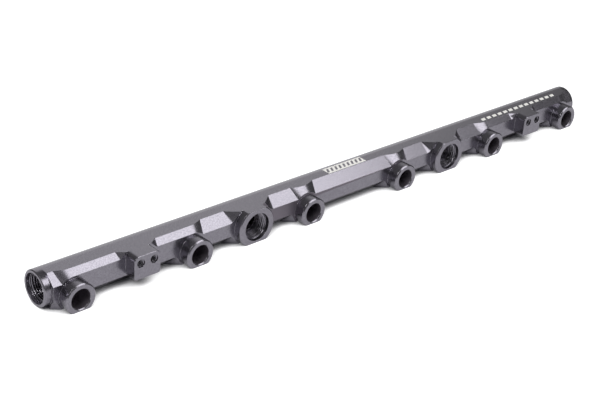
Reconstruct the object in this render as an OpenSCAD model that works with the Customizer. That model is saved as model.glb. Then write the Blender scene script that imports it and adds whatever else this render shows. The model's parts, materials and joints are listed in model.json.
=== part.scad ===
// Fuel rail for a straight-six engine, milled from one bar of aluminium.
// The rail lies along X, its ports face -Y, and it stands on its flat underside at z = 0.
// Lengths are in millimetres.

/* [Rail] */
// Length over both ends
rail_l = 515; // [500:1:540]
// Outer diameter of the round back
tube_d = 24.5; // [24:0.1:25]
// Diameter of the fuel passage that runs from end to end
passage_d = 16; // [12:0.5:16]
// Length of the plain round collar at each end
collar_l = 5; // [4:0.5:6]
// Chamfer on the outer edge of each end
end_chamfer = 0.6; // [0.3:0.1:1]

/* [Milled front] */
// How far the milled web stands in front of the rail axis
web_face = 13.4; // [13:0.1:14]
// Lower edge of the web, below the rail axis
web_low = 4.7; // [4.2:0.1:5.2]
// Upper edge of the web beside the large ports, above the rail axis
web_top = 5.2; // [4.8:0.1:5.6]
// Upper edge of the web beside the mounting pads, above the rail axis
web_top_high = 8.2; // [7.8:0.1:8.2]

/* [Injector bosses] */
// Distance between the two bosses of each pair
pair_pitch = 92; // [90:1:94]
// Distance from one pair to the next
pair_gap = 100; // [98:1:102]
// Outer diameter of a boss
boss_d = 21.5; // [21:0.1:22]
// Distance of the boss faces in front of the rail axis
boss_face = 21.8; // [21:0.1:23]
// Drop of the boss axes below the rail axis
boss_drop = 4; // [4:0.1:4.2]
// Bore for the injector
injector_d = 13.6; // [13:0.1:14]
// Diameter of the lead-in at the mouth of the bore
injector_mouth_d = 14.9; // [14.4:0.1:15.2]
// Depth of the bore
injector_depth = 13; // [12:0.5:13]
// Feed hole from the bore to the passage
feed_d = 8; // [6:0.5:9]

/* [Threaded ports] */
// Distance of the two large front ports from the middle of the rail
port_x = 96; // [95:0.5:97]
// Outer diameter of a front port
port_d = 30; // [29.5:0.1:30.5]
// Distance of the front port faces in front of the rail axis
port_face = 19.2; // [18.5:0.1:20]
// Drop of the front port axes below the rail axis
port_drop = 0.4; // [0:0.1:0.6]
// Major diameter of the 3/4-16 thread, in the front ports and in both ends
thread_d = 19.05; // [18.8:0.05:19.1]
// Diameter of the seal seat at the mouth of a thread
seat_d = 20.6; // [20.2:0.1:20.8]
// Depth of the seal seat
seat_depth = 2.5; // [2:0.1:3]
// Depth of the thread in a front port
port_thread_depth = 11; // [10:0.5:11]
// Hole from a front port to the passage
port_feed_d = 14; // [10:0.5:14]
// Depth of the thread in each end
end_thread_depth = 12; // [11:0.5:12.5]

/* [Mounting pads] */
// Distance of each pad from the middle of the rail
pad_x = 189.5; // [188:0.5:191]
// Width of a pad
pad_w = 20; // [19:0.5:21]
// Distance of the pad faces in front of the rail axis
pad_face = 23; // [22:0.1:24]
// Lower end of a pad, below the rail axis
pad_low = 4.3; // [4:0.1:4.6]
// Distance between the two screw holes of a pad
screw_pitch = 10.2; // [10:0.1:10.6]
// Height of the screw holes above the rail axis
screw_up = 6.9; // [6.5:0.1:7.2]
// Major diameter of the M6 screw holes
screw_d = 6; // [5.8:0.1:6]
// Depth of the screw holes
screw_depth = 13; // [10:0.5:14]

/* [Hidden] */
$fn = 96;

tube_r = tube_d / 2;
boss_r = boss_d / 2;
port_r = port_d / 2;

// Places of the six bosses, worked out from the two pitches
inner_boss_x = pair_pitch / 2;
middle_boss_x = inner_boss_x + pair_gap;
outer_boss_x = middle_boss_x + pair_pitch;

// Flat step that the end mill leaves around the root of every boss and port
root_step = 1.5;
// Chamfers on the front edges of bosses and ports
boss_chamfer = 0.8;
port_chamfer = 0.7;
// Reach of the slopes beside the large ports and the pads: |x| + |z| on the web face
port_slope = 22.2;
pad_slope = 22;
// Radius left by the cutter at the web face in the lower corners
low_corner_r = 5.5;
// Distance that the apex of a corner cone stays under the top of the bar
corner_margin = 0.4;
// Depth by which a corner cone runs into the slopes that it joins
bite = 0.03;
// Distances by which the wedge in a corner overlaps the slopes, and the body at its root
corner_overlap = 1.5;
corner_root = 3;
// Extra length of every cutter beyond the surface that it opens
over = 1;
// Half width of the slabs from which slopes are cut
slab_half = 60;
// Rounding of a pad, at the top and at the bottom
pad_round_top = 3.8;
pad_round_low = 1.7;
// Half angle of the drill tip at the end of a screw hole
drill_half_angle = 59;
// Half angle of the seal seat
seat_half_angle = 12;
// Radius at the inner end of the seal seat
seat_end_r = seat_d / 2 - seat_depth * tan(seat_half_angle);

// The bar is worked from the front: local x runs along the rail, y is up and z is towards the ports
module front() {
    rotate([90, 0, 0]) children();
}

module both_sides() {
    children();
    mirror([1, 0, 0]) children();
}

// Slab whose straight edge stands at height edge on the web face and falls back at 45 degrees
module sloped_slab(edge) {
    rotate([90, 0, 90])
        linear_extrude(2 * slab_half, center = true)
            polygon([
                [-slab_half, 0],
                [edge + web_face, 0],
                [edge, web_face],
                [-slab_half, web_face]
            ]);
}

// Everything on the front keeps between the flat top and the flat underside of the bar
module bar_height(depth) {
    translate([-slab_half, -tube_r, 0]) cube([2 * slab_half, tube_d, depth]);
}

// Round back of the rail, with its ends chamfered
module round_back() {
    rotate([0, 90, 0])
        rotate_extrude()
            polygon([
                [0, -rail_l / 2],
                [tube_r - end_chamfer, -rail_l / 2],
                [tube_r, end_chamfer - rail_l / 2],
                [tube_r, rail_l / 2 - end_chamfer],
                [tube_r - end_chamfer, rail_l / 2],
                [0, rail_l / 2]
            ]);
}

// Stretch of web from x0 to x1: flat top, slope, web face, lower slope and flat underside
module web(x0, x1, top_edge) {
    translate([x0, 0, 0])
        rotate([90, 0, 90])
            linear_extrude(x1 - x0)
                polygon([
                    [0, -tube_r],
                    [tube_r - web_low - web_face, -tube_r],
                    [-web_face, -web_low],
                    [-web_face, top_edge],
                    [tube_r - top_edge - web_face, tube_r],
                    [0, tube_r]
                ]);
}

// Cone that the cutter leaves behind the flat step around a boss or port
module shoulder(radius, drop) {
    translate([0, -drop, 0])
        cylinder(h = web_face, r1 = radius + root_step + web_face, r2 = radius + root_step);
}

// Boss or port body with a chamfered front edge
module turned_body(radius, drop, face, chamfer) {
    translate([0, -drop, 0])
        rotate_extrude()
            polygon([
                [0, 0],
                [radius, 0],
                [radius, face - chamfer],
                [radius - chamfer, face],
                [0, face]
            ]);
}

// Material left by the round cutter in a corner: the wedge between two slopes, less the cutter's cone.
// centre is the cutter's axis, radius its radius at the web face, and one and two point at the slopes.
module corner(centre, radius, one, two, back) {
    reach = radius + corner_overlap;
    cone_r = radius + bite;
    difference() {
        translate([0, 0, web_face - radius - over])
            linear_extrude(radius + over)
                polygon([centre, centre + reach * one, back, centre + reach * two]);
        translate([centre[0], centre[1], web_face - cone_r])
            cylinder(h = cone_r + over, r1 = 0, r2 = cone_r + over);
    }
}

// Upper corner, where the straight slope over the web meets the diagonal slope of a port or pad
module upper_corner(edge, slope) {
    radius = tube_r - edge - corner_margin;
    centre = [slope - edge + radius * tan(22.5), edge + radius];
    diagonal = [-sin(45), -cos(45)];
    corner(centre, radius, [0, -1], diagonal, [slope - edge - corner_root, edge - corner_root]);
}

// Lower corner, where the slope under the web meets the cone around a boss or port
module lower_corner(body_r, drop) {
    root_r = body_r + root_step;
    side = root_r + low_corner_r;
    fall = web_low - drop + low_corner_r;
    centre = [sqrt(side * side - fall * fall), -drop - fall];
    to_axis = ([0, -drop] - centre) / side;
    corner(centre, low_corner_r, [0, 1], to_axis, [root_r - corner_root, -drop]);
}

// Injector boss with its shoulder, in front view about the middle of the rail's height
module boss() {
    intersection() {
        union() {
            shoulder(boss_r, boss_drop);
            turned_body(boss_r, boss_drop, boss_face, boss_chamfer);
        }
        bar_height(boss_face + over);
    }
    both_sides() lower_corner(boss_r, boss_drop);
}

// Large front port, standing in a block with diagonal slopes above and a cone below
module front_port() {
    intersection() {
        rotate([0, 0, 45]) sloped_slab(port_slope * sin(45));
        rotate([0, 0, -45]) sloped_slab(port_slope * sin(45));
        translate([-slab_half, 0, 0]) cube([2 * slab_half, tube_r, web_face]);
    }
    intersection() {
        shoulder(port_r, port_drop);
        translate([-slab_half, -tube_r, 0]) cube([2 * slab_half, tube_r, web_face]);
    }
    intersection() {
        turned_body(port_r, port_drop, port_face, port_chamfer);
        bar_height(port_face + over);
    }
    both_sides() {
        upper_corner(web_top, port_slope);
        lower_corner(port_r, port_drop);
    }
}

// Outline of a pad: straight sides, large rounding at the top and small rounding at the bottom
module pad_outline() {
    half = pad_w / 2;
    top_centre = tube_r - pad_round_top;
    low_centre = pad_round_low - pad_low;
    translate([-half, low_centre]) square([pad_w, top_centre - low_centre]);
    translate([pad_round_top - half, 0]) square([pad_w - 2 * pad_round_top, tube_r]);
    translate([pad_round_low - half, -pad_low]) square([pad_w - 2 * pad_round_low, pad_low]);
    for (side = [-1, 1]) {
        translate([side * (half - pad_round_top), top_centre]) circle(r = pad_round_top);
        translate([side * (half - pad_round_low), low_centre]) circle(r = pad_round_low);
    }
}

// Mounting pad, standing in a block with diagonal slopes above
module pad() {
    intersection() {
        rotate([0, 0, 45]) sloped_slab(pad_slope * sin(45));
        rotate([0, 0, -45]) sloped_slab(pad_slope * sin(45));
        translate([-slab_half, 0, 0]) cube([2 * slab_half, tube_r, web_face]);
    }
    linear_extrude(pad_face) pad_outline();
    both_sides() upper_corner(web_top_high, pad_slope);
}

// Cutter for an injector bore: lead-in, bore and feed hole, with its mouth at z = 0
module injector_cutter() {
    lead = (injector_mouth_d - injector_d) / 2;
    rotate_extrude()
        polygon([
            [0, over],
            [injector_mouth_d / 2, over],
            [injector_mouth_d / 2, 0],
            [injector_d / 2, -lead],
            [injector_d / 2, -injector_depth],
            [feed_d / 2, -injector_depth],
            [feed_d / 2, -boss_face],
            [0, -boss_face]
        ]);
}

// Cutter for a threaded port: seal seat, step and thread, with its mouth at z = 0
module thread_cutter(depth) {
    step = seat_end_r - thread_d / 2;
    rotate_extrude()
        polygon([
            [0, over],
            [seat_d / 2, over],
            [seat_d / 2, 0],
            [seat_end_r, -seat_depth],
            [thread_d / 2, -seat_depth - step],
            [thread_d / 2, -depth],
            [0, -depth]
        ]);
}

// Cutter for a blind screw hole with a drill tip, with its mouth at z = 0
module screw_cutter() {
    tip = screw_d / 2 / tan(drill_half_angle);
    rotate_extrude()
        polygon([
            [0, over],
            [screw_d / 2, over],
            [screw_d / 2, -screw_depth],
            [0, -screw_depth - tip]
        ]);
}

module solid_bar() {
    end_x = rail_l / 2 - collar_l;
    round_back();
    web(-end_x, end_x, web_top);
    both_sides() web(middle_boss_x, outer_boss_x, web_top_high);
    front() {
        intersection() {
            for (x = [inner_boss_x, middle_boss_x, outer_boss_x], side = [-1, 1])
                translate([side * x, 0, 0]) boss();
            translate([-end_x, -tube_r, 0]) cube([2 * end_x, tube_d, boss_face + over]);
        }
        for (side = [-1, 1]) {
            translate([side * port_x, 0, 0]) front_port();
            translate([side * pad_x, 0, 0]) pad();
        }
    }
}

module passages() {
    rotate([0, 90, 0]) cylinder(h = rail_l - 2, d = passage_d, center = true);
    for (side = [-1, 1])
        translate([side * rail_l / 2, 0, 0])
            rotate([0, side * 90, 0])
                thread_cutter(end_thread_depth);
    front() {
        for (x = [inner_boss_x, middle_boss_x, outer_boss_x], side = [-1, 1])
            translate([side * x, -boss_drop, boss_face]) injector_cutter();
        for (side = [-1, 1]) {
            translate([side * port_x, -port_drop, port_face]) thread_cutter(port_thread_depth);
            translate([side * port_x, -port_drop, 0])
                cylinder(h = port_face - port_thread_depth + over, d = port_feed_d);
            for (hole = [-1, 1])
                translate([side * pad_x + hole * screw_pitch / 2, screw_up, pad_face]) screw_cutter();
        }
    }
}

module fuel_rail() {
    color("dimgray")
        translate([0, (pad_face - tube_r) / 2, tube_r])
            difference() {
                solid_bar();
                passages();
            }
}

fuel_rail();
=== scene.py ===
import json
import math
import bpy
import bmesh
from mathutils import Matrix, Vector

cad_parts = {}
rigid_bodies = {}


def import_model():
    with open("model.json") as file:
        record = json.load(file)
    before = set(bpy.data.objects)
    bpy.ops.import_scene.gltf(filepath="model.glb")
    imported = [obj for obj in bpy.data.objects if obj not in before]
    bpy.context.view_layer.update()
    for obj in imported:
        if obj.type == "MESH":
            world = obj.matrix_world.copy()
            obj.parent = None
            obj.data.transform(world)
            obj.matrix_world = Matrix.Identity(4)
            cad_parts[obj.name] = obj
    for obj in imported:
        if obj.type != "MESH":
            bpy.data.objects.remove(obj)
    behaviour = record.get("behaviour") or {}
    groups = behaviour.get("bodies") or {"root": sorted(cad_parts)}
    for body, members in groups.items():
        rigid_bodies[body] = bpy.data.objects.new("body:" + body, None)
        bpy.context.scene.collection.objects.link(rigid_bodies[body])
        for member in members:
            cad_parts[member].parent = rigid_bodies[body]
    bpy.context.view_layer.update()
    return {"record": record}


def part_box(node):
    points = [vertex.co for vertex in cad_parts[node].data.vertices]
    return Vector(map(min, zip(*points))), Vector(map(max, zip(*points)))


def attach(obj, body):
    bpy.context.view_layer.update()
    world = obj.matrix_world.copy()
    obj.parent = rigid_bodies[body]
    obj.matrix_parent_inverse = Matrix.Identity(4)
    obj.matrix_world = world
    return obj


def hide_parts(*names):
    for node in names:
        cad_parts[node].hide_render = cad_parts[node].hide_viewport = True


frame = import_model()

scene = bpy.context.scene
mm = 0.001


# Bar
# The whole rail is cut from one bar of aluminium. The back keeps the round of the bar, and the front
# is milled to a flat web between two slopes of 45 degrees.
mounts = {mount["name"]: mount for mount in frame["record"]["mounts"]}
rail_low, rail_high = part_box("fuel_rail")
rail_end = rail_high.x
tube_r = (rail_high.z - rail_low.z) / 2
axis = Vector(mounts["end_port_left"]["pos_m"]) * Vector((0, 1, 1))
collar_length = 5 * mm
bar_end = rail_end - collar_length
web_face = 13.4 * mm
web_low = 4.7 * mm
web_top = 5.2 * mm
tube_steps = 240
turned_steps = 144
# Extra height of every rough part, which the last cut to the bar's own faces takes off
spare = 2 * mm
# Points of a rough part that lie closer than this are one point
same_point = 0.0001 * mm


def from_front(x, up, out):
    """Point that lies out in front of the rail axis and up above it."""
    return axis + Vector((x, -out, up))


def from_end(out, up, x):
    """The same point, for outlines that run along the rail."""
    return from_front(x, up, out)


def stock(name):
    """New collection that holds parts which are joined or cut off together."""
    made = bpy.data.collections.new(name)
    scene.collection.children.link(made)
    return made


def solid(name, rings, holder):
    """Closed solid through rings of points. Its first and last ring are end faces."""
    shape = bmesh.new()
    rows = []
    for ring in rings:
        rows.append([shape.verts.new(point) for point in ring])
    count = len(rings[0])
    for lower, upper in zip(rows, rows[1:]):
        for i in range(count):
            after = (i + 1) % count
            shape.faces.new((lower[i], lower[after], upper[after], upper[i]))
    shape.faces.new(rows[0][::-1])
    shape.faces.new(rows[-1])
    bmesh.ops.remove_doubles(shape, verts=shape.verts, dist=same_point)
    bmesh.ops.recalc_face_normals(shape, faces=shape.faces)
    mesh = bpy.data.meshes.new(name)
    shape.to_mesh(mesh)
    shape.free()
    part = bpy.data.objects.new(name, mesh)
    holder.objects.link(part)
    return part


def prism(name, outline, start, end, place, holder):
    """Outline drawn out from start to end."""
    rings = []
    for depth in (start, end):
        rings.append([place(u, v, depth) for u, v in outline])
    return solid(name, rings, holder)


def turned(name, profile, place, holder, steps=turned_steps):
    """Round solid through (radius, height) pairs."""
    rings = []
    for radius, height in profile:
        ring = []
        for i in range(steps):
            angle = 2 * math.pi * i / steps
            ring.append(place(radius * math.cos(angle), radius * math.sin(angle), height))
        rings.append(ring)
    solid(name, rings, holder)


def web(name, start, end, top_edge, back, holder):
    """Stretch of web from start to end: slope, face and lower slope, each left with spare height."""
    top = tube_r + spare
    front = web_face + spare
    outline = back + [
        (0, -top),
        (web_face + web_low - top, -top),
        (front, spare - web_low),
        (front, top_edge - spare),
        (web_face + top_edge - top, top),
        (0, top),
    ]
    return prism(name, outline, start, end, from_end, holder)


slopes = stock("slopes")
round_back = []
for i in range(tube_steps // 2 + 1):
    angle = math.pi / 2 + 2 * math.pi * i / tube_steps
    round_back.append((tube_r * math.cos(angle), tube_r * math.sin(angle)))
rail = web("fuel_rail_milled", -bar_end, bar_end, web_top, round_back, scene.collection)


# Injector bosses
# Six round bosses stand on the web, each of them cut round with an end mill that leaves a cone at
# the foot. Where that foot meets the slope under the web, the corner is cut to a second cone.
boss_x = sorted(set(abs(mounts["injector_%d" % (i + 1)]["pos_m"][0]) for i in range(6)))
boss_r = 10.75 * mm
boss_drop = 4 * mm
boss_face = 21.8 * mm
boss_chamfer = 0.8 * mm
foot_step = 1.5 * mm
low_corner_r = 5.5 * mm
corner_steps = 12
# Rings of a corner's cone, in shares of its height. Those close to the apex keep the shading there
# from spreading over the whole cone.
cone_rings = (0, 0.04, 0.12, 0.35, 1)
# Length by which the wedge of a corner goes on past its cone, inside the slopes
wedge_reach = 1.5 * mm
# Depth by which the cone of a corner dips into the slopes that it joins
bite = 0.01 * mm
bodies = stock("bodies")


def turned_body(name, x, radius, drop, face, chamfer):
    """Round body with a chamfered front edge, on a foot that widens at 45 degrees."""
    def place(u, v, out):
        return from_front(x + u, v - drop, out)

    foot_r = radius + foot_step
    turned(name + "_foot", [(foot_r + web_face, 0), (foot_r - spare, web_face + spare)], place, slopes)
    turned(name, [(radius, 0), (radius, face - chamfer), (radius - chamfer, face)], place, bodies)


def corner(x, side, centre, radius, one, two, root):
    """Wedge between two slopes, less the cone of the cutter whose axis stands at centre."""
    start = math.atan2(one.y, one.x)
    sweep = (math.atan2(two.y, two.x) - start + math.pi) % (2 * math.pi) - math.pi
    height = radius + spare
    reach = height + wedge_reach
    rest = [centre + reach * two, root, centre + reach * one]
    rings = []
    for share in cone_rings:
        arc = []
        for i in range(corner_steps + 1):
            angle = start + sweep * i / corner_steps
            arc.append(centre + share * height * Vector((math.cos(angle), math.sin(angle))))
        out = web_face - radius + share * height
        rings.append([from_front(x + side * point.x, point.y, out) for point in arc + rest])
    solid("corner", rings, slopes)


def lower_corners(x, radius, drop):
    """Corners where the slope under the web meets the foot of a round body."""
    foot_r = radius + foot_step
    span = foot_r + low_corner_r
    fall = web_low - drop + low_corner_r
    centre = Vector((math.sqrt(span ** 2 - fall ** 2), -drop - fall))
    to_axis = (Vector((0, -drop)) - centre) / span
    root = Vector((foot_r - low_corner_r, -drop))
    for side in (-1, 1):
        corner(x, side, centre, low_corner_r + bite, Vector((0, 1)), to_axis, root)


for side in (-1, 1):
    for x in boss_x:
        turned_body("boss", side * x, boss_r, boss_drop, boss_face, boss_chamfer)
        lower_corners(side * x, boss_r, boss_drop)


# Front ports
# Two larger round bodies hold the threaded ports. Above the web each stands in a block that is left
# between two diagonal slopes, with a cone of the cutter in each corner.
port_x = abs(mounts["front_port_left"]["pos_m"][0])
port_r = 15 * mm
port_drop = 0.4 * mm
port_face = 19.2 * mm
port_chamfer = 0.7 * mm
port_slope = 22.2 * mm
# The cutter of an upper corner is smaller by this than the height that it works in
corner_margin = 0.4 * mm
# How far the root of an upper corner's wedge lies inside the block
root_inset = 5 * mm


def upper_block(x, slope, edge):
    """Block between two diagonal slopes that meet the web's upper slope at height edge."""
    rings = []
    for out in (0, web_face + spare):
        half = slope + math.sqrt(2) * (web_face - out)
        rings.append([
            from_front(x - half, 0, out),
            from_front(x + half, 0, out),
            from_front(x, half, out),
        ])
    solid("upper_block", rings, slopes)
    radius = tube_r - edge - corner_margin
    centre = Vector((slope - edge + radius * math.tan(math.pi / 8), edge + radius))
    diagonal = Vector((-1, -1)).normalized()
    root = Vector((slope - edge - root_inset, edge - root_inset))
    for side in (-1, 1):
        corner(x, side, centre, radius + bite, Vector((0, -1)), diagonal, root)


for side in (-1, 1):
    turned_body("port", side * port_x, port_r, port_drop, port_face, port_chamfer)
    lower_corners(side * port_x, port_r, port_drop)
    upper_block(side * port_x, port_slope, web_top)


# Mounting pads
# Two pads with rounded corners stand furthest out, each with two screw holes. The web on both sides
# of a pad is milled less deep, so its upper edge is higher there.
pad_x = abs(mounts["pad_left"]["pos_m"][0])
pad_face = axis.y - mounts["pad_left"]["pos_m"][1]
pad_half = 10 * mm
pad_low = 4.3 * mm
pad_slope = 22 * mm
pad_round_top = 3.8 * mm
pad_round_low = 1.7 * mm
pad_chamfer = 0.25 * mm
web_top_high = 8.2 * mm
round_steps = 12


def pad_outline(inset):
    """Outline of a pad, drawn in by inset all round."""
    top = pad_round_top
    low = pad_round_low
    centres = [
        (pad_half - top, tube_r - top, top),
        (top - pad_half, tube_r - top, top),
        (low - pad_half, low - pad_low, low),
        (pad_half - low, low - pad_low, low),
    ]
    outline = []
    for quarter, (u, v, radius) in enumerate(centres):
        for i in range(round_steps + 1):
            angle = math.pi / 2 * (quarter + i / round_steps)
            reach = radius - inset
            outline.append((u + reach * math.cos(angle), v + reach * math.sin(angle)))
    return outline


for side in (-1, 1):
    near, far = sorted((side * boss_x[1], side * boss_x[2]))
    web("web_by_pad", near, far, web_top_high, [], slopes)
    upper_block(side * pad_x, pad_slope, web_top_high)
    pad_rings = []
    for inset, out in ((0, 0), (0, pad_face - pad_chamfer), (pad_chamfer, pad_face)):
        pad_rings.append([from_front(side * pad_x + u, v, out) for u, v in pad_outline(inset)])
    solid("pad", pad_rings, bodies)


# End collars
# Past the last bosses the bar keeps its full round at both ends, as a short collar. The outer edge
# of each collar has a turned chamfer.
end_chamfer = 0.6 * mm
collars = stock("collars")
for side in (-1, 1):
    collar_profile = [
        (tube_r, side * bar_end),
        (tube_r, side * (rail_end - end_chamfer)),
        (tube_r - end_chamfer, side * rail_end),
    ]
    turned("collar", collar_profile, from_end, collars, tube_steps)


# Bores
# The fuel passage runs from end to end. Each boss has a bore for its injector with a lead-in, each
# port a tapered seal seat and a tapped wall, and the pads have blind holes with a drill point.
passage_r = 8 * mm
passage_end = rail_end - 1 * mm
passage_steps = 96
injector_r = mounts["injector_1"]["dims"]["r_mm"] * mm
injector_mouth_r = 7.45 * mm
injector_depth = 13 * mm
lead_in = injector_mouth_r - injector_r
feed_r = 4 * mm
thread_r = mounts["front_port_left"]["dims"]["r_mm"] * mm
seat_r = 10.3 * mm
seat_depth = 2.5 * mm
seat_taper = math.radians(12)
seat_end_r = seat_r - seat_depth * math.tan(seat_taper)
seat_step = seat_end_r - thread_r
port_thread_depth = 11 * mm
end_thread_depth = 12 * mm
port_feed_r = 7 * mm
screw_r = mounts["pad_left"]["dims"]["hole_r_mm"] * mm
screw_pitch = mounts["pad_left"]["dims"]["spacing_x_mm"] * mm
screw_up = mounts["pad_left"]["pos_m"][2] - axis.z
screw_depth = 13 * mm
screw_steps = 48
drill_tip_r = 0.01 * mm
drill_half_angle = math.radians(59)
drill_point = screw_r / math.tan(drill_half_angle)
# How far a cutter stands out of the face that it enters
opening = 1 * mm
bores = stock("bores")


def mouth(x, up, face):
    """Places a cutter whose mouth lies in a front face: heights below 0 go into the bar."""
    return lambda u, v, out: from_front(x + u, up + v, face + out)


def end_mouth(side):
    """The same for a cutter whose mouth lies in an end face."""
    return lambda u, v, out: from_front(side * (rail_end + out), v, u)


def screw_places(side):
    """Places along the rail of the two screw holes of a pad."""
    return (side * pad_x - screw_pitch / 2, side * pad_x + screw_pitch / 2)


def tapped_profile(depth):
    """Seal seat, step and wall of a threaded port, from the mouth inwards."""
    return [
        (seat_r, opening),
        (seat_r, 0),
        (seat_end_r, -seat_depth),
        (thread_r, -seat_depth - seat_step),
        (thread_r, -depth),
    ]


injector_profile = [
    (injector_mouth_r, opening),
    (injector_mouth_r, 0),
    (injector_r, -lead_in),
    (injector_r, -injector_depth),
    (feed_r, -injector_depth),
    (feed_r, -boss_face),
]
port_profile = tapped_profile(port_thread_depth)
port_profile += [(port_feed_r, -port_thread_depth), (port_feed_r, -port_face)]
screw_profile = [
    (screw_r, opening),
    (screw_r, -screw_depth),
    (drill_tip_r, -screw_depth - drill_point),
]
for side in (-1, 1):
    for x in boss_x:
        turned("injector_bore", injector_profile, mouth(side * x, -boss_drop, boss_face), bores)
    turned("port_bore", port_profile, mouth(side * port_x, -port_drop, port_face), bores)
    turned("end_bore", tapped_profile(end_thread_depth), end_mouth(side), bores)
    for x in screw_places(side):
        turned("screw_hole", screw_profile, mouth(x, screw_up, pad_face), bores, screw_steps)
# The passage has rings along its length, so that no facet of it runs the whole way
passage_rings = 40
passage_profile = []
for i in range(passage_rings + 1):
    passage_profile.append((passage_r, passage_end * (2 * i / passage_rings - 1)))
turned("passage", passage_profile, from_end, bores, passage_steps)


# Milling
# The parts above are joined, cut back to the bar's own faces and bored out. That leaves one solid, as
# the real rail is one piece of metal. Its flat faces are shaded flat, and its round ones smooth.
far_out = 100 * mm
# Points of the milled mesh that lie closer than this are joined
weld = 0.004 * mm
# Edges sharper than this stay crisp
crisp = math.radians(18)
limits = stock("limits")


def block(name, half_length, half_height, front):
    """Box of what a cut leaves, out to front."""
    outline = [
        (-half_length, -half_height),
        (half_length, -half_height),
        (half_length, half_height),
        (-half_length, half_height),
    ]
    return prism(name, outline, -far_out, front, from_front, limits)


def cut(operation, tool):
    """Adds a Boolean of the rail with one object or with every object of a collection."""
    step = rail.modifiers.new(operation, "BOOLEAN")
    step.operation = operation
    step.solver = "MANIFOLD"
    if isinstance(tool, bpy.types.Collection):
        step.operand_type = "COLLECTION"
        step.collection = tool
    else:
        step.object = tool


def applied(piece):
    """Gives a piece the plain mesh that its modifiers make, and takes the modifiers off."""
    depsgraph = bpy.context.evaluated_depsgraph_get()
    mesh = bpy.data.meshes.new_from_object(piece.evaluated_get(depsgraph), depsgraph=depsgraph)
    piece.modifiers.clear()
    piece.data = mesh
    return mesh


cut("UNION", slopes)
cut("INTERSECT", block("web_front", rail_end, far_out, web_face))
cut("UNION", bodies)
cut("INTERSECT", block("bar_faces", bar_end, tube_r, far_out))
cut("UNION", collars)
cut("DIFFERENCE", bores)
milled = applied(rail)
for holder in (slopes, bodies, collars, bores, limits):
    for part in list(holder.objects):
        bpy.data.objects.remove(part)
    bpy.data.collections.remove(holder)

welded = bmesh.new()
welded.from_mesh(milled)
bmesh.ops.remove_doubles(welded, verts=welded.verts, dist=weld)
for face in welded.faces:
    face.smooth = True
for edge in welded.edges:
    edge.smooth = edge.calc_face_angle(0) < crisp
welded.to_mesh(milled)
welded.free()
# Flat faces keep one normal right up to their edges
flat_faces = rail.modifiers.new("flat_faces", "WEIGHTED_NORMAL")
flat_faces.keep_sharp = True


# Anodised finish
# The milled rail is blasted to an even satin and anodised black. Turned faces and bores keep fine
# rings from the cutter, the drill and the tap. The edges, concave creases too, are paler: partly
# thinner dye, partly a painted highlight.
class Socket:
    """One output in a node tree, or the bare tree. Arithmetic on an output adds Math nodes."""

    def __init__(self, tree, output=None):
        self.tree = tree
        self.output = output

    def make(self, kind, settings, inputs, output=0):
        """Adds a node, sets it up, fills its sockets and gives back one of its outputs."""
        node = self.tree.nodes.new(kind)
        for name, value in settings.items():
            setattr(node, name, value)
        for key, value in inputs.items():
            if isinstance(value, Socket):
                value.feed(node, key)
            else:
                node.inputs[key].default_value = value
        return Socket(self.tree, node.outputs[output])

    def feed(self, node, key):
        """Links the output to an input of a node."""
        self.tree.links.new(self.output, node.inputs[key])

    def maths(self, operation, *values):
        return self.make("ShaderNodeMath", {"operation": operation}, dict(enumerate(values)))

    def dot(self, other):
        vectors = {0: self, 1: other}
        return self.make("ShaderNodeVectorMath", {"operation": "DOT_PRODUCT"}, vectors, "Value")

    def __add__(self, other):
        return self.maths("ADD", self, other)

    __radd__ = __add__

    def __sub__(self, other):
        return self.maths("SUBTRACT", self, other)

    def __rsub__(self, other):
        return self.maths("SUBTRACT", other, self)

    def __mul__(self, other):
        return self.maths("MULTIPLY", self, other)

    __rmul__ = __mul__

    def __pow__(self, other):
        return self.maths("POWER", self, other)

    def fraction(self):
        return self.maths("FRACT", self)

    def at_most(self, other):
        return self.maths("MINIMUM", self, other)

    def at_least(self, other):
        return self.maths("MAXIMUM", self, other)

    def above(self, other):
        """1 where the value is greater than the other, and 0 elsewhere."""
        return self.maths("GREATER_THAN", self, other)

    def between(self, low, high):
        """1 where the value lies between low and high, and 0 elsewhere."""
        return self.above(low) * self.maths("LESS_THAN", self, high)

    def blend(self, colour, other):
        """Colour where the value is 0, and the other colour where it is 1."""
        # Places of a Mix node's colour sockets, which share their names with others
        factor, first, second, result = 0, 6, 7, 2
        inputs = {factor: self, first: colour, second: other}
        return self.make("ShaderNodeMix", {"data_type": "RGBA"}, inputs, result)


anodised = bpy.data.materials.new("anodised_black")
anodised.use_nodes = True
finish = Socket(anodised.node_tree)
dye = (0.205, 0.195, 0.224, 1)
dye_thin = (0.268, 0.256, 0.290, 1)
# Paler colour of the edges: thinner dye, and a painted highlight
edge_wear_and_highlight = (0.58, 0.57, 0.60, 1)
# Slightly darker colour deep in the bores, which is painted shade
painted_bore_shade = (0.205, 0.185, 0.215, 1)
cloud_size = 45 * mm
mottle_size = 0.85 * mm
grain_size = 0.25 * mm
ring_size = 0.45 * mm
edge_radius = 0.28 * mm
# Share of dye that clouds and mottles take off, once they add up to more than the start
cloud_loss = 0.5
mottle_loss = 3
loss_start = 1.25
# Relief: its depth, its strength in the shading, and the heights of its parts in shares of the depth
relief_depth = 0.02 * mm
relief_strength = 0.25
grain_height = 0.5
mottle_height = 1.5
ring_height = 2
# Pale mark on a rounded edge, partly real wear of the dye and partly a painted highlight: how fast it
# comes up, its even part and its patchy part
edge_mark_rise = 4
edge_mark_even = 0.35
edge_mark_patchy = 0.5
# Least roughness of the finish, and what clouds, grain, turned faces and deep faces add to it
satin_roughness = 0.19
cloud_roughness = 0.05
grain_roughness = 0.06
turned_roughness = 0.05
lengthwise_roughness = 0.15
deep_roughness = 0.3

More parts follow.
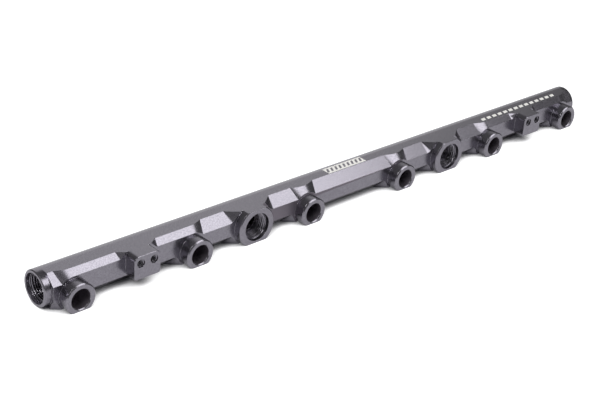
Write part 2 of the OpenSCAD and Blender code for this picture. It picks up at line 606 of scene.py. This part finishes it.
rail_point = finish.make("ShaderNodeTexCoord", {}, {}, "Object")
face_normal = finish.make("ShaderNodeNewGeometry", {}, {}, "Normal")
turning = finish.make("ShaderNodeAttribute", {"attribute_name": "turning"}, {}, "Vector")
is_turned = turning.dot(turning)
is_lengthwise = turning.dot((1, 0, 0))
is_deep = finish.make("ShaderNodeAttribute", {"attribute_name": "deep"}, {}, "Fac")


def noise(size, detail):
    """Noise in space whose lumps are about this size."""
    inputs = {"Vector": rail_point, "Scale": 1 / size, "Detail": detail}
    return finish.make("ShaderNodeTexNoise", {}, inputs)


cloud = noise(cloud_size, detail=3)
mottle = noise(mottle_size, detail=2)
grain = noise(grain_size, detail=3)
cutter_rings = finish.make(
    "ShaderNodeTexNoise", {"noise_dimensions": "1D"},
    {"W": rail_point.dot(turning), "Scale": 1 / ring_size, "Detail": 3})
# The blasted grain gives way to the rings on turned faces
blasted = grain_height * grain + mottle_height * mottle
relief = blasted * (1 - is_turned) + ring_height * cutter_rings * is_turned
rounded = finish.make("ShaderNodeBevel", {"samples": 4}, {"Radius": edge_radius})
edge_turn = 1 - rounded.dot(face_normal)
# Edges, concave ones too, turn paler: partly real wear of the dye, partly a painted highlight
worn_and_highlit = (edge_mark_rise * edge_turn).at_most(1) * (edge_mark_even + edge_mark_patchy * grain)
dye_loss = (cloud_loss * cloud + mottle_loss * mottle - loss_start).at_most(1).at_least(0)
# Deep in the bores the colour turns a little darker, as painted shade
dye_with_bore_shade = is_deep.blend(dye_loss.blend(dye, dye_thin), painted_bore_shade)
satin = (
    satin_roughness + cloud_roughness * cloud + grain_roughness * grain
    + turned_roughness * is_turned + lengthwise_roughness * is_lengthwise + deep_roughness * is_deep)
surface = finish.make(
    "ShaderNodeBump", {},
    {"Strength": relief_strength, "Distance": relief_depth, "Height": relief, "Normal": rounded})


# Etched fields
# Two plain fields on the flat top are etched into the dye, which leaves them pale and matt: a panel
# with slanting bars above the middle of the web, and a row of slanting dashes near the right end.
etched_pale = (0.83, 0.82, 0.79, 1)
panel_x = (-18.4 * mm, 18.6 * mm)
panel_y = (-0.5 * mm, 7.3 * mm)
bars_y = (1.1 * mm, 5.7 * mm)
bar_pitch = 4 * mm
dashes_x = (146 * mm, 238 * mm)
dashes_y = (-2 * mm, 1.4 * mm)
dash_pitch = 6.6 * mm
# Where a bar and a dash start and end, in shares of their pitch
bar_part = (0.3, 0.8)
dash_part = (0.2, 0.85)
slant = 0.5
etched_roughness = 0.3
# How far below the top of the rail the fields may reach
etch_reach = 0.35 * mm

x_place, y_place, z_place = [
    finish.make("ShaderNodeSeparateXYZ", {}, {0: rail_point}, letter) for letter in "XYZ"]
slanted = x_place - slant * y_place
bars = (slanted * (1 / bar_pitch)).fraction().between(*bar_part)
dashes = (slanted * (1 / dash_pitch)).fraction().between(*dash_part)
panel = x_place.between(*panel_x) * y_place.between(*panel_y) * (1 - bars * y_place.between(*bars_y))
row = x_place.between(*dashes_x) * y_place.between(*dashes_y) * dashes
etched = z_place.above(rail_high.z - etch_reach) * (panel + row)
coating = finish.tree.nodes["Principled BSDF"]
# The pale edges in the base colour are partly wear and partly a painted highlight
etched.blend(worn_and_highlit.blend(dye_with_bore_shade, edge_wear_and_highlight), etched_pale).feed(coating, "Base Color")
(1 - etched).feed(coating, "Metallic")
(satin + etched_roughness * etched).feed(coating, "Roughness")
surface.feed(coating, "Normal")


# Turned and deep faces
# Faces that were cut round an axis carry its direction, and fine rings run round them. Faces inside
# the passage and deep in the injector bores, which the blasting hardly reaches, are marked too: they
# are rougher, and a painted shade makes their colour a little darker.
round_bodies = []
for side in (-1, 1):
    # Place along the rail, height over its axis, radius of the bore and radius of the outside
    round_bodies += [(side * x, -boss_drop, injector_mouth_r, boss_r) for x in boss_x]
    round_bodies.append((side * port_x, -port_drop, seat_r, port_r))
    round_bodies += [(x, screw_up, screw_r, 0) for x in screw_places(side)]
# How far the middle of a facet may lie off its round
slack = 0.02 * mm


def turned_about(point):
    """Direction of the axis that a face was cut round, or no direction on a flat face."""
    up = point.z - axis.z
    from_axis = math.hypot(point.y - axis.y, up)
    inwards = rail_end - abs(point.x)
    in_passage = from_axis < passage_r + slack
    in_end_port = inwards < end_thread_depth and from_axis < seat_r + slack
    on_collar = slack < inwards < collar_length and from_axis > tube_r - end_chamfer
    if in_passage or in_end_port or on_collar:
        return (1, 0, 0)
    for body_x, body_up, bore_r, outer_r in round_bodies:
        distance = math.hypot(point.x - body_x, up - body_up)
        if distance < bore_r + slack or abs(distance - outer_r) < slack:
            return (0, 1, 0)
    return (0, 0, 0)


def in_deep_bore(point):
    """Whether a point lies inside the passage or behind the lead-in of an injector bore."""
    up = point.z - axis.z
    from_axis = math.hypot(point.y - axis.y, up)
    if from_axis < passage_r + lead_in and abs(point.x) < passage_end:
        return True
    across = min(abs(abs(point.x) - x) for x in boss_x)
    behind_lead_in = axis.y - point.y < boss_face - lead_in
    return behind_lead_in and math.hypot(across, up + boss_drop) < injector_mouth_r


turnings = milled.attributes.new("turning", "FLOAT_VECTOR", "FACE")
depths = milled.attributes.new("deep", "FLOAT", "FACE")
for face in milled.polygons:
    turnings.data[face.index].vector = turned_about(face.center)
    depths.data[face.index].value = in_deep_bore(face.center)
milled.materials.clear()
milled.materials.append(anodised)
applied(rail)
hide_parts("fuel_rail")
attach(rail, "root")


# Threads
# Both front ports and both ends are tapped 3/4-16 for plugs or hose fittings, and the pads M6. Each
# thread is one ridge that winds along the wall of its hole and runs out at both ends.
port_pitch = 25.4 * mm / 16
screw_thread_pitch = 1 * mm
screw_thread_start = 0.2 * mm
# Shape of a standard thread, in shares of its pitch: the ridge's width at the wall and at its crest,
# its height, and how deep its base is sunk into the wall
ridge_base = 7 / 8
ridge_crest = 1 / 4
ridge_height = 0.5413
ridge_sunk = 0.03
# Turns over which a thread runs out, and the share of its height that is left at the very end
run_out_turns = 0.4
run_out_least = 0.03
steps_per_turn = 72
thread_crisp = math.radians(40)


def thread_tree():
    """Geometry Nodes tree that winds the ridge of a thread at each point of a mesh."""
    tree = bpy.data.node_groups.new("tapped_thread", "GeometryNodeTree")
    tree.interface.new_socket("Holes", in_out="INPUT", socket_type="NodeSocketGeometry")
    for name in ("Radius", "Pitch", "Turns"):
        tree.interface.new_socket(name, in_out="INPUT", socket_type="NodeSocketFloat")
    tree.interface.new_socket("Finish", in_out="INPUT", socket_type="NodeSocketMaterial")
    tree.interface.new_socket("Threads", in_out="OUTPUT", socket_type="NodeSocketGeometry")
    winding = Socket(tree)
    given = tree.nodes.new("NodeGroupInput").outputs
    holes, radius, pitch, turns, material = [Socket(tree, given[i]) for i in range(5)]

    spiral = winding.make("GeometryNodeCurveSpiral", {}, {
        "Resolution": steps_per_turn, "Rotations": turns, "Start Radius": radius,
        "End Radius": radius, "Height": turns * pitch})
    path = winding.make("GeometryNodeSetCurveNormal", {"mode": "Z_UP"}, {"Curve": spiral})
    # The profile's foot lies on the path, so the run-outs shrink into the wall
    ridge = winding.make("GeometryNodeCurvePrimitiveQuadrilateral", {"mode": "TRAPEZOID"}, {
        "Height": (ridge_height + ridge_sunk) * pitch, "Bottom Width": ridge_base * pitch,
        "Top Width": ridge_crest * pitch, "Offset": 0})
    lift = winding.make("ShaderNodeCombineXYZ", {}, {"Y": (ridge_height - ridge_sunk) / 2 * pitch})
    inwards = (0, 0, -math.pi / 2)
    ridge = winding.make("GeometryNodeTransform", {}, {"Geometry": ridge, "Translation": lift})
    ridge = winding.make("GeometryNodeTransform", {}, {"Geometry": ridge, "Rotation": inwards})
    along = winding.make("GeometryNodeSplineParameter", {}, {}, "Factor")
    turns_to_end = turns * along.at_most(1 - along)
    scale = (turns_to_end * (1 / run_out_turns)).at_most(1).at_least(run_out_least)
    thread = winding.make("GeometryNodeCurveToMesh", {}, {
        "Curve": path, "Profile Curve": ridge, "Scale": scale, "Fill Caps": True})
    facing = winding.make(
        "GeometryNodeInputNamedAttribute", {"data_type": "FLOAT_VECTOR"}, {"Name": "facing"})
    rotation = winding.make("FunctionNodeAlignRotationToVector", {"axis": "Z"}, {"Vector": facing})
    placed = winding.make("GeometryNodeInstanceOnPoints", {}, {
        "Points": holes, "Instance": thread, "Rotation": rotation})
    joined = winding.make("GeometryNodeRealizeInstances", {}, {"Geometry": placed})
    coated = winding.make("GeometryNodeSetMaterial", {}, {"Geometry": joined, "Material": material})
    coated.feed(tree.nodes.new("NodeGroupOutput"), 0)
    return tree


tapped_thread = thread_tree()


def threads(name, holes, facings, radius, pitch, start, end):
    """One piece with the threads of like holes, cut from start to end below each hole's face."""
    clear = ridge_base / 2 * pitch
    turns = (end - start) / pitch - ridge_base
    mesh = bpy.data.meshes.new(name)
    points = [hole - facing * (end - clear) for hole, facing in zip(holes, facings)]
    mesh.from_pydata(points, [], [])
    facing_data = mesh.attributes.new("facing", "FLOAT_VECTOR", "POINT").data
    for i, facing in enumerate(facings):
        facing_data[i].vector = facing
    piece = bpy.data.objects.new(name, mesh)
    scene.collection.objects.link(piece)
    winding = piece.modifiers.new("winding", "NODES")
    winding.node_group = tapped_thread
    values = {"Radius": radius, "Pitch": pitch, "Turns": turns, "Finish": anodised}
    for item in tapped_thread.interface.items_tree:
        if item.name in values:
            winding[item.identifier] = values[item.name]
    applied(piece).set_sharp_from_angle(angle=thread_crisp)
    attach(piece, "root")


to_front = Vector((0, -1, 0))
wall_start = seat_depth + seat_step
threads(
    "front_port_threads",
    [from_front(side * port_x, -port_drop, port_face) for side in (-1, 1)],
    [to_front, to_front], thread_r, port_pitch, wall_start, port_thread_depth)
threads(
    "end_port_threads",
    [from_front(side * rail_end, 0, 0) for side in (-1, 1)],
    [Vector((side, 0, 0)) for side in (-1, 1)], thread_r, port_pitch, wall_start, end_thread_depth)
screw_holes = [from_front(x, screw_up, pad_face) for side in (-1, 1) for x in screw_places(side)]
threads(
    "pad_threads", screw_holes, [to_front] * len(screw_holes),
    screw_r, screw_thread_pitch, screw_thread_start, screw_depth)


# Studio floor
# Plain pale floor under the rail. It glows towards the camera and in reflections, so that it shows
# as white. The glow fades under the rail as a painted shadow, which adds to the real soft shadow.
floor_half = 3
floor_grey = (0.6, 0.6, 0.61, 1)
floor_roughness = 0.9
floor_specular = 0.1
seen_glow = 0.75
mirrored_glow = 0.3
shadow_reach = 12 * mm
# Shares of open sky between which the glow comes up out of its painted shadow
covered = 0.25
uncovered = 0.55

bpy.ops.mesh.primitive_plane_add(size=2 * floor_half)
floor = bpy.context.object
floor.name = "studio_floor"
floor_paint = bpy.data.materials.new("studio_floor")
floor_paint.use_nodes = True
paint = Socket(floor_paint.node_tree)
floor_shader = paint.tree.nodes["Principled BSDF"]
floor_shader.inputs["Base Color"].default_value = floor_grey
floor_shader.inputs["Roughness"].default_value = floor_roughness
floor_shader.inputs["Specular IOR Level"].default_value = floor_specular
floor_shader.inputs["Emission Strength"].default_value = 1


def seen_and_mirrored(flow):
    """Whether a ray is the camera's own, straight or through glass, and whether it is a reflection."""
    straight, through, mirrored = [
        flow.make("ShaderNodeLightPath", {}, {}, kind)
        for kind in ("Is Camera Ray", "Is Transmission Ray", "Is Glossy Ray")]
    return straight.at_least(through), mirrored


floor_seen, floor_mirrored = seen_and_mirrored(paint)
# The glow fades right under the rail, where it covers the floor. That is a painted shadow, over the
# floor's real shade.
open_sky = paint.make("ShaderNodeAmbientOcclusion", {"samples": 16}, {"Distance": shadow_reach}, "AO")
outside_painted_shadow = ((open_sky - covered) * (1 / (uncovered - covered))).at_most(1).at_least(0)
# Glow of the floor, less a painted shadow under the rail
glow = (seen_glow * floor_seen + mirrored_glow * floor_mirrored) * outside_painted_shadow
glow.feed(floor_shader, "Emission Color")
floor.data.materials.append(floor_paint)


# Studio walls
# A white sweep rises behind the floor, towards the left of the view. The rest of the room is dim,
# and shows in the sides of the bosses and pads.
sweep_azimuth = math.radians(22)
sweep_elevation = math.radians(15)
# Cosines of the angles from its middle at which the sweep starts to fade, and at which it has faded
sweep_full = math.cos(math.radians(23))
sweep_edge = math.cos(math.radians(34))
sweep_level = 0.9
dim_level = 0.15
# What lights the floor comes mostly from overhead, so the shadow stays close to the rail
overhead_level = 1.3
overhead_focus = 4


def towards(azimuth, elevation):
    """Direction at an azimuth, clockwise from the back of the rail, and an elevation."""
    return Vector((
        math.sin(azimuth) * math.cos(elevation),
        math.cos(azimuth) * math.cos(elevation),
        math.sin(elevation),
    ))


world = bpy.data.worlds.new("studio")
scene.world = world
world.use_nodes = True
room = Socket(world.node_tree)
direction = room.make("ShaderNodeTexCoord", {}, {}, "Generated")
fade = 1 / (sweep_full - sweep_edge)
from_middle = direction.dot(towards(sweep_azimuth, sweep_elevation))
in_sweep = (from_middle * fade - sweep_edge * fade).at_most(1).at_least(0)
walls = dim_level + (sweep_level - dim_level) * in_sweep
overhead = overhead_level * direction.dot((0, 0, 1)).at_least(0) ** overhead_focus
room_seen, room_mirrored = seen_and_mirrored(room)
level = room_seen + room_mirrored * walls + overhead * (1 - room_seen.at_least(room_mirrored))
background = room.tree.nodes["Background"]
background.inputs["Color"].default_value = (1, 1, 1, 1)
level.feed(background, "Strength")


# Studio lamp
# One wide oval softbox hangs high in front of the rail, to the right of the camera. It lights the
# upper slopes, which mirror it towards the camera.
softbox_distance = 1.9


def hang_softbox(name, azimuth, elevation, half_width, half_height, brightness):
    """Round or oval softbox that faces the rail. Its half sizes are angles, as the rail sees them."""
    lamp = bpy.data.lights.new(name, "AREA")
    lamp.shape = "ELLIPSE"
    lamp.size = 2 * softbox_distance * math.tan(half_width)
    lamp.size_y = 2 * softbox_distance * math.tan(half_height)
    lamp.energy = brightness * math.pi * math.pi * lamp.size * lamp.size_y / 4
    softbox = bpy.data.objects.new(name, lamp)
    scene.collection.objects.link(softbox)
    softbox.location = softbox_distance * towards(azimuth, elevation)
    softbox.rotation_euler = softbox.location.to_track_quat("Z", "Y").to_euler()


hang_softbox(
    "softbox", azimuth=math.radians(148.5), elevation=math.radians(46.5),
    half_width=math.radians(24), half_height=math.radians(16), brightness=2.95)


# Side lamp
# A smaller round softbox hangs to the left of the camera, where no flat face of the rail mirrors it
# into the view. It lights the floor on the near side of the bosses.
side_half = math.radians(12)
hang_softbox(
    "side_softbox", azimuth=math.radians(248), elevation=math.radians(45),
    half_width=side_half, half_height=side_half, brightness=11)


# Camera
# It looks down on the rail from the front left, a little tilted, as the photograph does. Its place,
# direction, tilt and lens were fitted to the photograph together with the rail's sizes.
camera_place = (-0.6141, -0.59768, 0.44101)
camera_aim = Vector((0.61163, 0.64222, -0.46202))
camera_tilt = Matrix.Rotation(math.radians(3.895), 4, "Z")
camera_data = bpy.data.cameras.new("camera")
camera_data.lens = 79.17
camera_data.sensor_width = 36
camera = bpy.data.objects.new("camera", camera_data)
scene.collection.objects.link(camera)
camera.location = camera_place
upright = camera_aim.to_track_quat("-Z", "Y").to_matrix().to_4x4()
camera.rotation_euler = (upright @ camera_tilt).to_euler()
scene.camera = camera
scene.view_settings.view_transform = "Standard"
